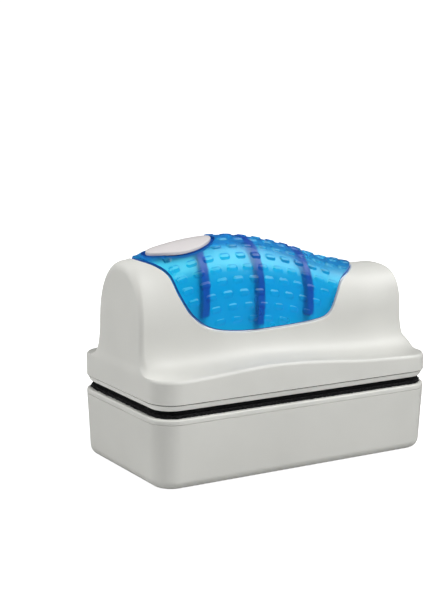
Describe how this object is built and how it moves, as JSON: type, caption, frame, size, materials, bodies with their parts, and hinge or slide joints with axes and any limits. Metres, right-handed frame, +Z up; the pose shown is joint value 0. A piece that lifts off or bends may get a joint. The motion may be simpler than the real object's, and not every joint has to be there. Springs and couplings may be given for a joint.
{
  "type": "magnetic glass cleaner",
  "caption": "Two-part magnetic aquarium glass cleaner: a hand-held half with a humped blue grip over a box-shaped in-tank half, with black cleaning pads between them.",
  "frame": {"origin": "centre of the outline seen from above, on the flat underside of the in-tank half", "axes": "+Z up through both halves, +X along the length towards the low end of the grip, +Y across the width"},
  "size_m": [0.1, 0.054, 0.0706],
  "materials": {
    "shell_plastic": "satin, very fine grain, pale warm grey",
    "cover_plastic": "glossy translucent blue",
    "plate_plastic": "smooth satin, pale pinkish grey, blank",
    "scrub_fabric": "coarse woven hook pad, black",
    "felt_fabric": "dense felt, black",
    "seal_rubber": "matt black",
    "magnet_plating": "nickel plated",
    "yoke_steel": "zinc plated sheet",
    "screw_steel": "zinc plated",
    "inner_plastic": "plain moulded, off-white",
    "foam_strip": "closed-cell foam, dark grey",
    "float_foam": "expanded foam, white"
  },
  "bodies": {
    "tank_half": {"scrubber_tub": "shell_plastic", "scrubber_lid": "shell_plastic", "lid_seal": "seal_rubber", "scrub_pad": "scrub_fabric", "inner_magnet_left": "magnet_plating", "inner_magnet_right": "magnet_plating", "inner_yoke_plate": "yoke_steel", "inner_magnet_foam": "foam_strip", "inner_magnet_clamp": "inner_plastic", "inner_clamp_screws": "screw_steel", "float_foam": "float_foam"},
    "hand_half": {"felt_pad": "felt_fabric", "outer_base_plate": "shell_plastic", "outer_base_screws": "screw_steel", "outer_magnet_left": "magnet_plating", "outer_magnet_right": "magnet_plating", "outer_yoke_plate": "yoke_steel", "outer_magnet_foam": "foam_strip", "outer_magnet_clamp": "inner_plastic", "outer_clamp_screws": "screw_steel", "handle_shell": "shell_plastic", "grip_cover": "cover_plastic", "name_plate": "plate_plastic"}
  },
  "joints": [
    {"name": "halves_separate", "type": "slide", "parent": "tank_half", "child": "hand_half", "axis": [0, 0, 1], "range_m": [0, 0.06]}
  ]
}
